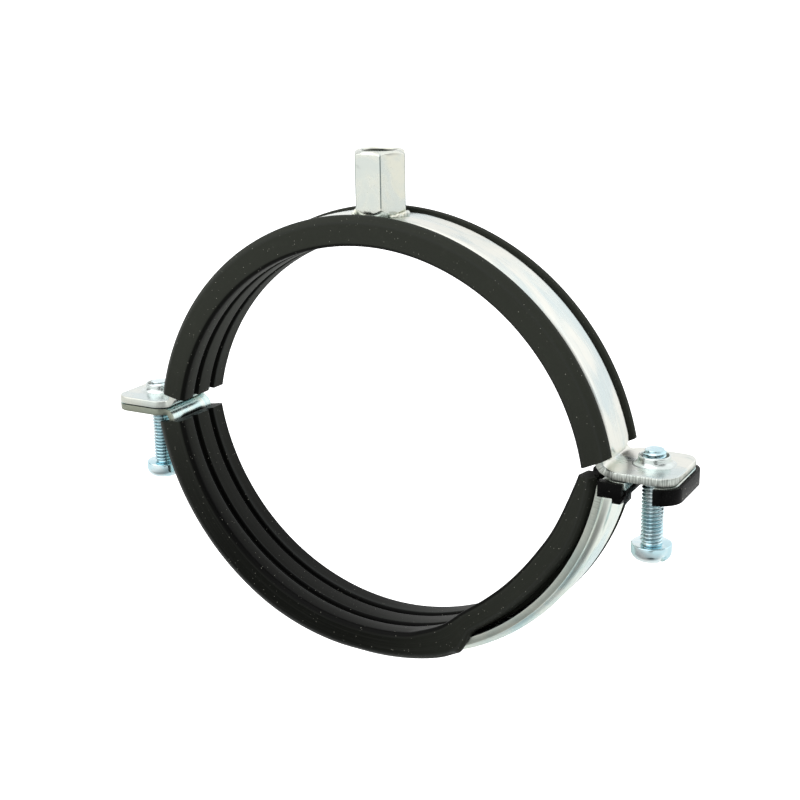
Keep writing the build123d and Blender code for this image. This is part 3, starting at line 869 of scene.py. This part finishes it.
class CLAMP_OT_linings(bpy.types.Operator):
    """Makes the two ribbed rubber linings; the front lip of the lower one has slipped off the strap"""

    bl_idname = "clamp.linings"
    bl_label = "Rubber linings"

    def execute(self, context):
        rubber = rubber_material("black_rubber")
        angles = np.linspace(12, 168, 196)
        fronts = [lining_side()] * len(angles)
        upper = lining_loops(-size("upper_drop"), angles, fronts, lining_side(rise=0.55), slant=1.7)

        # The front side of the lower lining: angle, shift, kind of lip and rise.
        stations = (
            (-171.0, 0.0, "gripping", 0.9), (-120.0, 0.0, "gripping", 0.9), (-110.0, 0.0, "gripping", 0.7),
            (-100.0, 0.0, "gripping", 0.35), (-92.0, 0.0, "gripping"), (-80.0, 0.0, "gripping"),
            (-75.0, 0.7, "gripping"), (-71.5, 1.2, "gripping", -0.15), (-69.0, 1.6, "gripping", -0.7),
            (-66.4, 2.3, "lifting"), (-64.2, 3.0, "riding"), (-61.0, 3.8, "tucked"), (-56.0, 4.3, "tucked"),
            (-49.0, 4.6, "tucked"), (-41.0, 4.7, "tucked"), (-33.0, 4.5, "tucked"), (-24.0, 3.7, "tucked"),
            (-16.6, 3.0, "tucked"), (-10.8, 2.1, "tucked"), (-6.8, 1.2, "tucked"),
        )
        turns = [s[0] for s in stations]
        table = np.array([lining_side(*s[1:]).ravel() for s in stations])
        spans = [np.linspace(-171, -80, 114), np.linspace(-79.5, -60, 52), np.linspace(-59.2, -6.8, 66)]
        angles = np.concatenate(spans)
        fronts = monotone(turns, table, angles).reshape(len(angles), -1, 2)
        lower = lining_loops(size("lower_rise"), angles, fronts, lining_side(rise=-0.5))
        for name, loops in (("upper", upper), ("lower", lower)):
            bm = bmesh.new()
            add_loft(bm, loops, PAINTED_LIGHT_SIDE + PAINTED_LIGHT_SIDE[::-1])
            piece = new_object(f"{name}_lining_rubber", finish_mesh(bm, f"{name}_lining_rubber", 40))
            coat(piece, rubber)
            seat(piece, f"{name}_half", "black_rubber", f"{name}_lining")
        return {"FINISHED"}


# ---- geometry trees ----


def shape(tree, kind, inputs, **settings):
    """Adds a geometry node and gives its first output."""
    return add_node(tree, f"GeometryNode{kind}", inputs, **settings).outputs[0]


def joined(tree, *parts):
    made = tree.nodes.new("GeometryNodeJoinGeometry")
    for part in parts:
        tree.links.new(part, made.inputs[0])
    return made.outputs[0]


def start_shape(name, settings):
    """A geometry tree that adds to its piece; `settings` holds the label, kind and default of its inputs."""
    inputs = [("Geometry", GEOMETRY, None), *settings, ("Material", MATERIAL, None)]
    return start_group(name, inputs, [("Geometry", GEOMETRY)], "GeometryNodeTree")


def end_shape(tree, get, out, added):
    """Joins what a tree adds to its piece, smooth and coated."""
    whole = joined(tree, get["Geometry"], shape(tree, "SetShadeSmooth", {"Geometry": added}))
    real = shape(tree, "RealizeInstances", {0: whole})
    coated = shape(tree, "SetMaterial", {"Geometry": real, "Material": get["Material"]})
    connect(tree, out, {0: coated})
    return tree


def add_tree(piece, tree, settings):
    """Adds a geometry tree to a piece, with its settings by name."""
    made = piece.modifiers.new(tree.name, "NODES")
    made.node_group = tree
    sockets = {s.name: s.identifier for s in tree.interface.items_tree if s.in_out == "INPUT"}
    for label, value in settings.items():
        made[sockets[label]] = value


@made_once("Rolled thread")
def thread_tree(name):
    """A helical thread round an upright axis, joined to the piece it is cut on."""
    tree, get, out = start_shape(name, (
        ("Root Radius", FLOAT, 0.0024), ("Ridge Height", FLOAT, 0.0005), ("Pitch", FLOAT, 0.001),
        ("Start Height", FLOAT, 0.0), ("Length", FLOAT, 0.02), ("Run Out", FLOAT, 0.0008),
        ("Axis X", FLOAT, 0.0), ("Columns", WHOLE, 44), ("Rows", WHOLE, 9), ("Inside", SWITCH, False),
        ("Closed Ends", SWITCH, True),
    ))
    merge_gap = 1e-6
    turns = calc(tree, "DIVIDE", get["Length"], get["Pitch"])
    rows = plus(tree, calc(tree, "CEIL", times(tree, turns, get["Rows"])), 1.0)
    columns = plus(tree, get["Columns"], 1.0)
    grid = shape(tree, "MeshGrid", {"Size X": 1.0, "Size Y": 1.0, "Vertices X": columns, "Vertices Y": rows})
    x, y, _ = axes(tree, tree.nodes.new("GeometryNodeInputPosition").outputs[0])
    round_share = plus(tree, x, 0.5)
    rise = times(tree, plus(tree, y, 0.5), get["Length"])
    turn = times(tree, round_share, 2 * math.pi)
    phase = calc(tree, "FRACT", minus(tree, calc(tree, "DIVIDE", rise, get["Pitch"]), round_share))
    ridge = minus(tree, 1.0, calc(tree, "ABSOLUTE", minus(tree, times(tree, phase, 2.0), 1.0)))
    flank = share(tree, ridge, 0.16, 0.84)
    to_tip = minus(tree, get["Length"], rise)
    fade = times(tree, share(tree, rise, 0.0, get["Run Out"]), share(tree, to_tip, 0.0, get["Run Out"]))
    lifted = times(tree, get["Ridge Height"], times(tree, flank, fade))
    radius = plus(tree, get["Root Radius"], lifted)
    point = vector(
        tree, plus(tree, get["Axis X"], times(tree, radius, calc(tree, "COSINE", turn))),
        times(tree, radius, calc(tree, "SINE", turn)), plus(tree, get["Start Height"], rise),
    )
    # The thread roots are marked for painted shade.
    hollow = times(tree, fade, minus(tree, 1.0, flank))
    marked = shape(
        tree, "StoreNamedAttribute", {"Geometry": grid, "Name": "painted_dark_mark", "Value": hollow},
        data_type="FLOAT", domain="POINT",
    )
    wound = shape(tree, "SetPosition", {"Geometry": marked, "Position": point})
    sewn = shape(tree, "MergeByDistance", {"Geometry": wound, "Distance": merge_gap})

    # An inside thread is turned round and gets a thin back; an outside one may get a cap at each end.
    turned = shape(tree, "FlipFaces", {"Mesh": sewn})
    backing = shape(tree, "ExtrudeMesh", {"Mesh": sewn, "Offset Scale": 0.00005, "Individual": False})
    sleeve = joined(tree, turned, backing)
    facing = shape(
        tree, "Switch", {"Switch": get["Inside"], "False": sewn, "True": sleeve}, input_type="GEOMETRY"
    )
    disc = shape(
        tree, "MeshCircle", {"Vertices": get["Columns"], "Radius": get["Root Radius"]}, fill_type="NGON"
    )
    tip_at = vector(tree, get["Axis X"], 0.0, plus(tree, get["Start Height"], get["Length"]))
    tip = shape(tree, "Transform", {"Geometry": disc, "Translation": tip_at})
    foot_at = vector(tree, get["Axis X"], 0.0, get["Start Height"])
    foot = shape(tree, "Transform", {"Geometry": disc, "Translation": foot_at})
    ends = joined(tree, tip, shape(tree, "FlipFaces", {"Mesh": foot}))
    capped = shape(tree, "Switch", {"Switch": get["Closed Ends"], "True": ends}, input_type="GEOMETRY")
    whole = joined(tree, facing, capped)
    closed = shape(tree, "MergeByDistance", {"Geometry": whole, "Distance": merge_gap})
    return end_shape(tree, get, out, closed)


def cut_thread(piece, material, **settings):
    """Adds a thread to a piece and makes the result a plain mesh. Lengths are in millimetres."""
    sizes = bpy.context.scene.clamp_sizes
    values = {"Columns": sizes.thread_columns, "Rows": sizes.thread_rows, "Material": material}
    for key, value in settings.items():
        values[key.replace("_", " ")] = value * MM if isinstance(value, float) else value
    add_tree(piece, thread_tree(), values)
    made_plain(piece)
    piece.data.set_sharp_from_angle(angle=math.radians(50))


# ---- screws ----


class CLAMP_OT_screws(bpy.types.Operator):
    """Makes the two slotted screws with rolled threads"""

    bl_idname = "clamp.screws"
    bl_label = "Screws"

    def execute(self, context):
        steel = zinc_material("zinc_screw", "screw_cool", "screw_warm", 90.0, 0.15, scratch=0.2)
        head, soft = size("head_radius"), size("head_round")
        head_height, slot_width, slot_depth = 4.4, 1.6, 2.2
        for name, heading in (("left_screw", 20), ("right_screw", -34)):
            low, high = (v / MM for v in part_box(name))
            x = (low.x + high.x) / 2
            bearing = low.z + head_height
            outline = (
                [(0, bearing), (head - 0.3, bearing)] + arc(head - 0.3, bearing - 0.3, 0.3, 70, 0, 4)
                + arc(head - soft, low.z + soft, soft, 0, -90, 10) + [(0, low.z)]
            )
            bm = bmesh.new()
            add_lathe(bm, outline, x)
            piece = new_object(f"{name}_steel", finish_mesh(bm, f"{name}_steel"))
            slot = bmesh.new()
            bmesh.ops.create_cube(slot, size=1)
            bmesh.ops.scale(slot, vec=(3 * head, slot_width, 2 * slot_depth), verts=slot.verts)
            turn = Matrix.Rotation(math.radians(heading), 3, "Z")
            bmesh.ops.rotate(slot, cent=(0, 0, 0), matrix=turn, verts=slot.verts)
            bmesh.ops.translate(slot, vec=(x, 0, low.z), verts=slot.verts)
            cut_away(piece, [finish_mesh(slot, "tool")])
            root = size("screw_crest") - size("screw_depth")
            cut_thread(
                piece, steel, Root_Radius=root, Ridge_Height=size("screw_depth"), Pitch=size("screw_pitch"),
                Start_Height=bearing - 0.2, Length=high.z - bearing + 0.2, Run_Out=0.7, Axis_X=x,
                Inside=False, Closed_Ends=True,
            )
            coat(piece, steel)
            seat(piece, name, "zinc_screw", name)
        return {"FINISHED"}


# ---- connection nut and its weld ----


CORNER_POINTS, FLAT_POINTS = 7, 6


def hexagon_outline(flats, corner):
    """Rounded hexagon with corners on +X and -X."""
    inner = (flats / 2 - corner) / math.cos(math.radians(30))

    def on_corner(k, turn):
        a = math.radians(60 * k)
        x = inner * math.cos(a) + corner * math.cos(a + turn)
        y = inner * math.sin(a) + corner * math.sin(a + turn)
        return x, y

    points = []
    for k in range(6):
        points += [on_corner(k, turn) for turn in np.radians(np.linspace(-30, 30, CORNER_POINTS))]
        first, last = np.array(points[-1]), np.array(on_corner(k + 1, -math.pi / 6))
        points += [tuple(first + (last - first) * t) for t in np.linspace(0, 1, FLAT_POINTS + 2)[1:-1]]
    return np.array(points)


class CLAMP_OT_nut(bpy.types.Operator):
    """Makes the hexagon connection nut with its stepped thread"""

    bl_idname = "clamp.nut"
    bl_label = "Connection nut"

    def execute(self, context):
        low, high = (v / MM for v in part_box("connection_nut"))
        steel = zinc_material("zinc_nut", "nut_cool", "nut_warm", 120.0, 0.25, scratch=1.0, bore=(0, 4.9))
        hexagon = hexagon_outline(size("flats"), 0.45)
        radius = np.hypot(hexagon[:, 0], hexagon[:, 1])
        ring = hexagon / radius[:, None]
        turned, wide, narrow = 5.9, 4.95, 3.95
        step = high.z - 8.0
        top_edge = high.z - (radius - turned).clip(0) * math.tan(math.radians(30))
        foot_edge = low.z + (radius - turned).clip(0) * math.tan(math.radians(50))

        def flat_ring(r, z):
            return np.column_stack([ring * r, np.full(len(ring), z)])

        def side_ring(height, inset=0.0):
            scale = (radius - inset) / radius
            return np.column_stack([hexagon * scale[:, None], foot_edge + (top_edge - foot_edge) * height])

        top = [
            flat_ring(5.15, high.z), flat_ring(turned - 0.15, high.z), flat_ring(turned + 0.1, high.z - 0.04),
        ]
        sides = [side_ring(1.0, 0.1), side_ring(0.988)]
        sides += [side_ring(height) for height in np.linspace(0.94, 0.06, 9)]
        foot = [
            side_ring(0.012), side_ring(0.0, 0.1), flat_ring(turned, low.z), flat_ring(narrow + 0.4, low.z),
        ]
        inside = [
            flat_ring(narrow, low.z + 0.4), flat_ring(narrow, step), flat_ring(wide, step + 0.6),
            flat_ring(wide, high.z - 0.22),
        ]
        bm = bmesh.new()
        painted_corner_dark = bm.verts.layers.float.new("painted_dark_mark")
        verts = [[bm.verts.new(p) for p in row] for row in top + sides + foot + inside]
        count = len(ring)
        # The rounded corners of the sides are marked for a painted dark reflection.
        for row in verts[len(top):len(top) + len(sides)]:
            for j in range(count):
                if 1 <= j % (CORNER_POINTS + FLAT_POINTS) <= CORNER_POINTS - 2:
                    row[j][painted_corner_dark] = 1.0
        for i in range(len(verts)):
            n = (i + 1) % len(verts)
            for j in range(count):
                k = (j + 1) % count
                bm.faces.new((verts[i][j], verts[n][j], verts[n][k], verts[i][k]))
        piece = new_object("connection_nut_steel", finish_mesh(bm, "connection_nut_steel", 28))
        cut_thread(
            piece, steel, Root_Radius=wide, Ridge_Height=-0.68, Pitch=1.5, Start_Height=step + 0.5,
            Length=7.4, Run_Out=0.8, Axis_X=0.0, Inside=True, Closed_Ends=False,
        )
        cut_thread(
            piece, steel, Root_Radius=narrow, Ridge_Height=-0.55, Pitch=1.25, Start_Height=low.z + 0.3,
            Length=step - low.z - 0.5, Run_Out=0.8, Axis_X=0.0, Inside=True, Closed_Ends=False,
        )
        piece.data.set_sharp_from_angle(angle=math.radians(28))
        coat(piece, steel)
        seat(piece, "upper_half", "zinc_nut", "connection_nut")
        return {"FINISHED"}


@made_once("Weld bead")
def bead_tree(name):
    """A weld bead of overlapping drops along an arc on the strap."""
    tree, get, out = start_shape(name, (
        ("Drop Size", FLOAT, 0.001), ("Arc Radius", FLOAT, 0.0065), ("Arc Start", FLOAT, -0.6),
        ("Arc Sweep", FLOAT, 1.2), ("Height", FLOAT, 0.06), ("Drops", WHOLE, 9), ("Seed", WHOLE, 3),
    ))
    arc_inputs = {
        "Resolution": get["Drops"], "Radius": get["Arc Radius"], "Start Angle": get["Arc Start"],
        "Sweep Angle": get["Arc Sweep"],
    }
    route = shape(tree, "CurveArc", arc_inputs, mode="RADIUS")
    lift = vector(tree, 0.0, 0.0, get["Height"])
    raised = shape(tree, "Transform", {"Geometry": route, "Translation": lift})
    drop = shape(tree, "MeshIcoSphere", {"Radius": get["Drop Size"], "Subdivisions": 4})
    swell_inputs = {"Min": (0.55, 0.55, 0.35), "Max": (1.15, 1.1, 0.85), "Seed": get["Seed"]}
    swell = add_node(tree, "FunctionNodeRandomValue", swell_inputs, data_type="FLOAT_VECTOR").outputs[0]
    laid = shape(tree, "InstanceOnPoints", {"Points": raised, "Instance": drop, "Scale": swell})
    real = shape(tree, "RealizeInstances", {0: laid})
    lumps = noise_value(tree, tree.nodes.new("GeometryNodeInputPosition").outputs[0], 1400.0)
    push = times(tree, minus(tree, lumps, 0.5), times(tree, get["Drop Size"], 0.35))
    normal = tree.nodes.new("GeometryNodeInputNormal").outputs[0]
    away = add_node(tree, "ShaderNodeVectorMath", {0: normal, "Scale": push}, operation="SCALE").outputs[0]
    rough = shape(tree, "SetPosition", {"Geometry": real, "Offset": away})
    return end_shape(tree, get, out, rough)


class CLAMP_OT_weld(bpy.types.Operator):
    """Makes the weld beads at the foot of the nut"""

    bl_idname = "clamp.weld"
    bl_label = "Weld beads"

    def execute(self, context):
        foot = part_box("nut_weld")[0].z
        metal = zinc_material("weld_metal", "nut_cool", "nut_warm", 400.0, 0.34, scratch=0.1)
        piece = new_object("nut_weld_beads", bpy.data.meshes.new("nut_weld_beads"))
        for turn in (0, 180):
            add_tree(piece, bead_tree(), {
                "Drop Size": 0.00105, "Arc Radius": 0.0069, "Arc Start": math.radians(turn - 33),
                "Arc Sweep": math.radians(66), "Height": foot + 0.00035, "Drops": 12, "Seed": 4 + turn,
                "Material": metal,
            })
        made_plain(piece)
        coat(piece, metal)
        seat(piece, "upper_half", "weld_metal", "nut_weld")
        return {"FINISHED"}


# ---- screw retainer ----


# Faces of the front snap block and its hook that the looks move: the axis, where they stand on it, where
# they go, and whether only what lies in front of BLOCK_BACK goes. In millimetres.
BLOCK_BACK = -9.5
MOVED_FACES = ((0, 71.53, 73.05, True), (2, -7.0, -5.9, False), (2, -6.0, -4.3, True))


class CLAMP_OT_retainer(bpy.types.Operator):
    """Rounds the moulded edges of the screw retainer"""

    bl_idname = "clamp.retainer"
    bl_label = "Screw retainer"

    def execute(self, context):
        bm = bmesh.new()
        bm.from_mesh(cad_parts["screw_retainer"].data)
        bmesh.ops.remove_doubles(bm, verts=bm.verts, dist=2e-6)
        bmesh.ops.dissolve_limit(bm, angle_limit=math.radians(1.5), verts=bm.verts, edges=bm.edges)
        for vert in bm.verts:
            for axis, stands, goes, front_only in MOVED_FACES:
                near = abs(vert.co[axis] - stands * MM) < 0.05 * MM
                if near and (vert.co.y < BLOCK_BACK * MM or not front_only):
                    vert.co[axis] = goes * MM
        mesh = bpy.data.meshes.new("screw_retainer_plastic")
        bm.to_mesh(mesh)
        bm.free()
        piece = new_object("screw_retainer_plastic", mesh)
        soften = piece.modifiers.new("moulded edges", "BEVEL")
        soften.width = 0.00014
        soften.segments = 2
        soften.limit_method = "ANGLE"
        soften.angle_limit = math.radians(40)
        made_plain(piece)
        piece.data.shade_smooth()
        piece.data.set_sharp_from_angle(angle=math.radians(30))
        coat(piece, plastic_material("black_plastic"))
        seat(piece, "lower_half", "black_plastic", "screw_retainer")
        return {"FINISHED"}


# ---- stage ----


# Where the floor is dark in a reflection: a way out from the clamp, and a spot beside it, in metres.
STAND_WAY = (0.491, -0.871, 0.0)
STAND_SPOT = (0.105, -0.085, 0.0)

# Dark cards in the sky: the way to the card, the cosines at its edge and its full depth, and the depth.
SKY_CARDS = (
    ((0.9, -0.25, 0.45), 0.86, 0.97, 0.7), ((-0.9, -0.35, 0.25), 0.86, 0.98, 0.8),
    ((0.489, -0.868, 0.12), 0.96, 0.985, 0.92),
)

# Sun lamps: name, where the light comes from, strength and angle across in degrees.
LAMPS = (("key", (-0.45, -0.5, 0.9), 1.3, 80), ("fill", (0.5, 0.4, 1.0), 0.5, 90))

CAMERA_PLACE = (0.18345, -0.32464, 0.11917)
CAMERA_TURN = (28.809, 90 - 16.505, -0.898)
LENS = 63.885


def floor_material():
    """Pale floor that is darker at the stand in a reflection, and clear from below."""
    material, tree, shader, where = start_material("pale_floor")
    speckle = noise_value(tree, where, 3.0, 2.0, 0.5)
    tone = blend(tree, ramp(tree, speckle, 0.3, 0.7, 0.0, 0.04), tint("floor"), (0.86, 0.87, 0.88, 1))
    x, y, _ = axes(tree, where)
    flat = vector(tree, x, y)
    ray = add_node(tree, "ShaderNodeLightPath").outputs
    heading = vector_calc(tree, "NORMALIZE", flat)
    facing = vector_calc(tree, "DOT_PRODUCT", heading, STAND_WAY, output="Value")
    away = vector_calc(tree, "LENGTH", flat, output="Value")
    stand = times(tree, ramp(tree, facing, 0.978, 0.992), ramp(tree, away, 0.2, 0.35))
    beside = vector_calc(tree, "DISTANCE", flat, STAND_SPOT, output="Value")
    stand = calc(tree, "MAXIMUM", stand, ramp(tree, beside, 0.030, 0.044, 1.0, 0.0))
    near = times(tree, ramp(tree, away, 0.1, 0.3, 0.75, 0.0), ramp(tree, y, -0.06, 0.0, 1.0, 0.0))
    dark = calc(tree, "MAXIMUM", stand, near)
    mirrored = blend(tree, dark, (0.80, 0.81, 0.80, 1), (0.05, 0.05, 0.05, 1))
    tone = blend(tree, ray["Is Glossy Ray"], tone, mirrored)
    glow = blend(tree, ray["Is Camera Ray"], (0, 0, 0, 1), (0.8, 0.8, 0.8, 1))
    connect(tree, shader, {"Base Color": tone, "Emission Color": glow})
    connect(tree, shader, {"Emission Strength": 1.0, "Roughness": 0.9})
    clear = add_node(tree, "ShaderNodeBsdfTransparent").outputs[0]
    below = add_node(tree, "ShaderNodeNewGeometry").outputs["Backfacing"]
    either = add_node(tree, "ShaderNodeMixShader", {0: below, 1: shader.outputs[0], 2: clear}).outputs[0]
    connect(tree, tree.nodes["Material Output"], {"Surface": either})
    return material


def make_floor():
    """A wide floor, low enough for the lowered half."""
    bm = bmesh.new()
    bmesh.ops.create_circle(bm, cap_ends=True, radius=40.0, segments=96)
    bmesh.ops.translate(bm, vec=(0, 0, FRAME_BOX[0].z - size("open_room") * MM), verts=bm.verts)
    mesh = bpy.data.meshes.new("floor")
    bm.to_mesh(mesh)
    bm.free()
    floor = new_object("floor", mesh)
    coat(floor, floor_material())


def make_sky(scene):
    """A soft sky with dark cards, which show in the metal and not behind the clamp."""
    scene.world = bpy.data.worlds.new("studio")
    scene.world.use_nodes = True
    tree = scene.world.node_tree
    way = add_node(tree, "ShaderNodeTexCoord").outputs["Generated"]
    shade = ramp(tree, axes(tree, way)[2], 0.0, 0.8, 1.12, 0.85)
    for card, edge, full, depth in SKY_CARDS:
        facing = vector_calc(tree, "DOT_PRODUCT", way, Vector(card).normalized(), output="Value")
        shade = times(tree, shade, ramp(tree, facing, edge, full, 1.0, 1.0 - depth))
    shade = calc(tree, "MAXIMUM", shade, add_node(tree, "ShaderNodeLightPath").outputs["Is Camera Ray"])
    grey = add_node(tree, "ShaderNodeCombineColor", {0: shade, 1: shade, 2: shade}).outputs[0]
    connect(tree, tree.nodes["Background"], {"Color": grey, "Strength": 1.0})


class CLAMP_OT_stage(bpy.types.Operator):
    """Sets the floor, the soft lights and the camera"""

    bl_idname = "clamp.stage"
    bl_label = "Stage"

    def execute(self, context):
        scene = context.scene
        scene.view_settings.view_transform = "Standard"
        make_floor()
        make_sky(scene)
        for name, spot, strength, across in LAMPS:
            lamp = bpy.data.lights.new(name, "SUN")
            lamp.energy = strength
            lamp.angle = math.radians(across)
            holder = new_object(name, lamp)
            holder.location = spot
            holder.rotation_euler = (-Vector(spot)).to_track_quat("-Z", "Y").to_euler()

        camera = bpy.data.cameras.new("camera")
        camera.sensor_width = 36
        camera.lens = LENS
        camera.dof.use_dof = False
        camera.clip_start, camera.clip_end = 0.01, 50
        view = new_object("camera", camera)
        turn = Matrix()
        for degrees, axis in zip(CAMERA_TURN, "ZXZ"):
            turn = turn @ Matrix.Rotation(math.radians(degrees), 4, axis)
        view.matrix_world = Matrix.Translation(CAMERA_PLACE) @ turn
        scene.camera = view
        return {"FINISHED"}


class CLAMP_PT_panel(bpy.types.Panel):
    """Lists the pieces of the clamp with their sizes and colours"""

    bl_idname = "CLAMP_PT_panel"
    bl_label = "Pipe clamp"
    bl_space_type = "VIEW_3D"
    bl_region_type = "UI"
    bl_category = "Clamp"

    def draw(self, context):
        column = self.layout.column()
        for piece in PIECES:
            column.operator(piece.bl_idname)
        for group in (context.scene.clamp_sizes, context.scene.clamp_finish):
            for name in group.__annotations__:
                column.prop(group, name)


PIECES = (
    CLAMP_OT_straps, CLAMP_OT_linings, CLAMP_OT_screws, CLAMP_OT_nut, CLAMP_OT_weld, CLAMP_OT_retainer,
    CLAMP_OT_stage,
)
CLASSES = (ClampSizes, ClampFinish, *PIECES, CLAMP_PT_panel)


def register():
    for item in CLASSES:
        bpy.utils.register_class(item)
    bpy.types.Scene.clamp_sizes = PointerProperty(type=ClampSizes)
    bpy.types.Scene.clamp_finish = PointerProperty(type=ClampFinish)


def unregister():
    del bpy.types.Scene.clamp_finish
    del bpy.types.Scene.clamp_sizes
    for item in reversed(CLASSES):
        bpy.utils.unregister_class(item)


def main():
    register()
    for piece in PIECES:
        group, name = piece.bl_idname.split(".")
        getattr(getattr(bpy.ops, group), name)()


if __name__ == "__main__":
    main()
